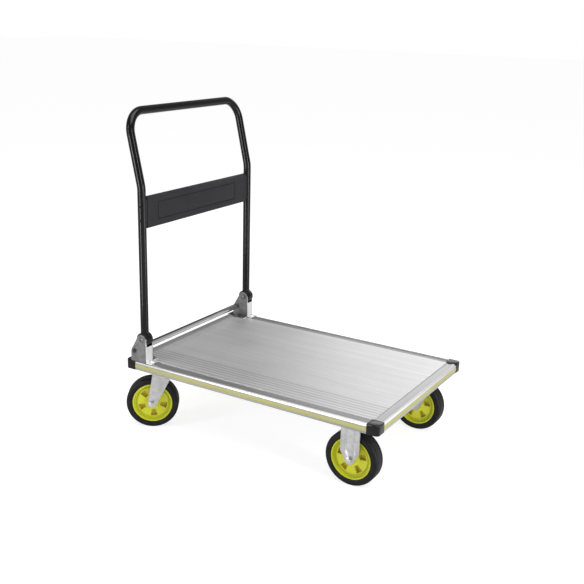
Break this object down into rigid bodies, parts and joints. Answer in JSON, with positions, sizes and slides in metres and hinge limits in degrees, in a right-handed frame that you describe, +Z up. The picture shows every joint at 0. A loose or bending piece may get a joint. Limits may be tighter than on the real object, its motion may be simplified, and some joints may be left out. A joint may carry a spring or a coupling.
{
  "type": "platform trolley",
  "caption": "Folding platform trolley: ribbed aluminium deck on fixed front casters and swivel rear casters, with a tube handle that folds over the deck.",
  "frame": {"origin": "On the floor, under the middle of the whole outline.", "axes": "X runs along the deck with the handle at -X, Y runs across the deck, Z is up."},
  "size_m": [0.926, 0.631, 1.0363],
  "materials": {
    "deck_aluminium": "satin extruded",
    "cap_plastic": "moulded",
    "bumper_plastic": "soft satin",
    "zinc_sheet": "zinc plated",
    "fastener_steel": "bright",
    "spring_steel": "bright",
    "release_chrome": "polished",
    "handle_paint": "gloss powder coat",
    "panel_plastic": "fine grained",
    "rim_plastic": "moulded",
    "tyre_rubber": "matt"
  },
  "bodies": {
    "chassis": {"side_rail_left": "deck_aluminium", "side_rail_right": "deck_aluminium", "end_rail_front": "deck_aluminium", "end_rail_rear": "deck_aluminium", "deck_plank_1": "deck_aluminium", "deck_plank_2": "deck_aluminium", "deck_plank_3": "deck_aluminium", "deck_plank_4": "deck_aluminium", "deck_plank_5": "deck_aluminium", "deck_plank_6": "deck_aluminium", "corner_cap_front_left": "cap_plastic", "corner_cap_front_right": "cap_plastic", "corner_cap_rear_left": "cap_plastic", "corner_cap_rear_right": "cap_plastic", "bumper_strip_left": "bumper_plastic", "bumper_strip_right": "bumper_plastic", "bumper_strip_front": "bumper_plastic", "bumper_strip_rear": "bumper_plastic", "cross_member_front": "zinc_sheet", "cross_member_rear": "zinc_sheet", "hinge_bracket_left": "zinc_sheet", "hinge_bracket_right": "zinc_sheet", "bracket_bolts": "fastener_steel", "pivot_bolts": "fastener_steel", "fixed_fork_left": "zinc_sheet", "fixed_fork_right": "zinc_sheet", "front_axle_bolts": "fastener_steel", "swivel_plate_left": "zinc_sheet", "swivel_plate_right": "zinc_sheet", "kingpins": "fastener_steel", "swivel_balls": "fastener_steel", "caster_bolts": "fastener_steel", "deck_nuts": "fastener_steel", "release_springs": "spring_steel"},
    "handle": {"handle_tube": "handle_paint", "cross_panel": "panel_plastic", "panel_screws": "fastener_steel", "cam_foot_left": "cap_plastic", "cam_foot_right": "cap_plastic", "pivot_bushes": "fastener_steel", "foot_rivets": "fastener_steel"},
    "release": {"release_bar": "release_chrome", "release_pin": "release_chrome"},
    "swivel_left": {"swivel_fork_left": "zinc_sheet", "axle_bolt_rear_left": "fastener_steel"},
    "swivel_right": {"swivel_fork_right": "zinc_sheet", "axle_bolt_rear_right": "fastener_steel"},
    "wheel_front_left": {"rim_front_left": "rim_plastic", "tyre_front_left": "tyre_rubber", "bearings_front_left": "fastener_steel"},
    "wheel_front_right": {"rim_front_right": "rim_plastic", "tyre_front_right": "tyre_rubber", "bearings_front_right": "fastener_steel"},
    "wheel_rear_left": {"rim_rear_left": "rim_plastic", "tyre_rear_left": "tyre_rubber", "bearings_rear_left": "fastener_steel"},
    "wheel_rear_right": {"rim_rear_right": "rim_plastic", "tyre_rear_right": "tyre_rubber", "bearings_rear_right": "fastener_steel"}
  },
  "joints": [
    {"name": "handle_fold", "type": "hinge", "parent": "chassis", "child": "handle", "pos_m": [-0.38105, 0, 0.311], "axis": [0, 1, 0], "range_deg": [0, 97]},
    {"name": "release_press", "type": "slide", "parent": "chassis", "child": "release", "axis": [-0.4814, 0, -0.8765], "range_m": [0, 0.01], "stiffness_N_per_m": 900, "springref_m": -0.015, "deforming": ["release_springs"]},
    {"name": "swivel_left_turn", "type": "hinge", "parent": "chassis", "child": "swivel_left", "pos_m": [-0.35005, -0.231, 0], "axis": [0, 0, 1], "continuous": true},
    {"name": "swivel_right_turn", "type": "hinge", "parent": "chassis", "child": "swivel_right", "pos_m": [-0.35005, 0.231, 0], "axis": [0, 0, 1], "continuous": true},
    {"name": "wheel_front_left_roll", "type": "hinge", "parent": "chassis", "child": "wheel_front_left", "pos_m": [0.35495, -0.231, 0.085], "axis": [0, 1, 0], "continuous": true},
    {"name": "wheel_front_right_roll", "type": "hinge", "parent": "chassis", "child": "wheel_front_right", "pos_m": [0.35495, 0.231, 0.085], "axis": [0, 1, 0], "continuous": true},
    {"name": "wheel_rear_left_roll", "type": "hinge", "parent": "swivel_left", "child": "wheel_rear_left", "pos_m": [-0.38181, -0.25186, 0.085], "axis": [-0.549, 0.8358, 0], "continuous": true},
    {"name": "wheel_rear_right_roll", "type": "hinge", "parent": "swivel_right", "child": "wheel_rear_right", "pos_m": [-0.38181, 0.25186, 0.085], "axis": [0.549, 0.8358, 0], "continuous": true}
  ]
}
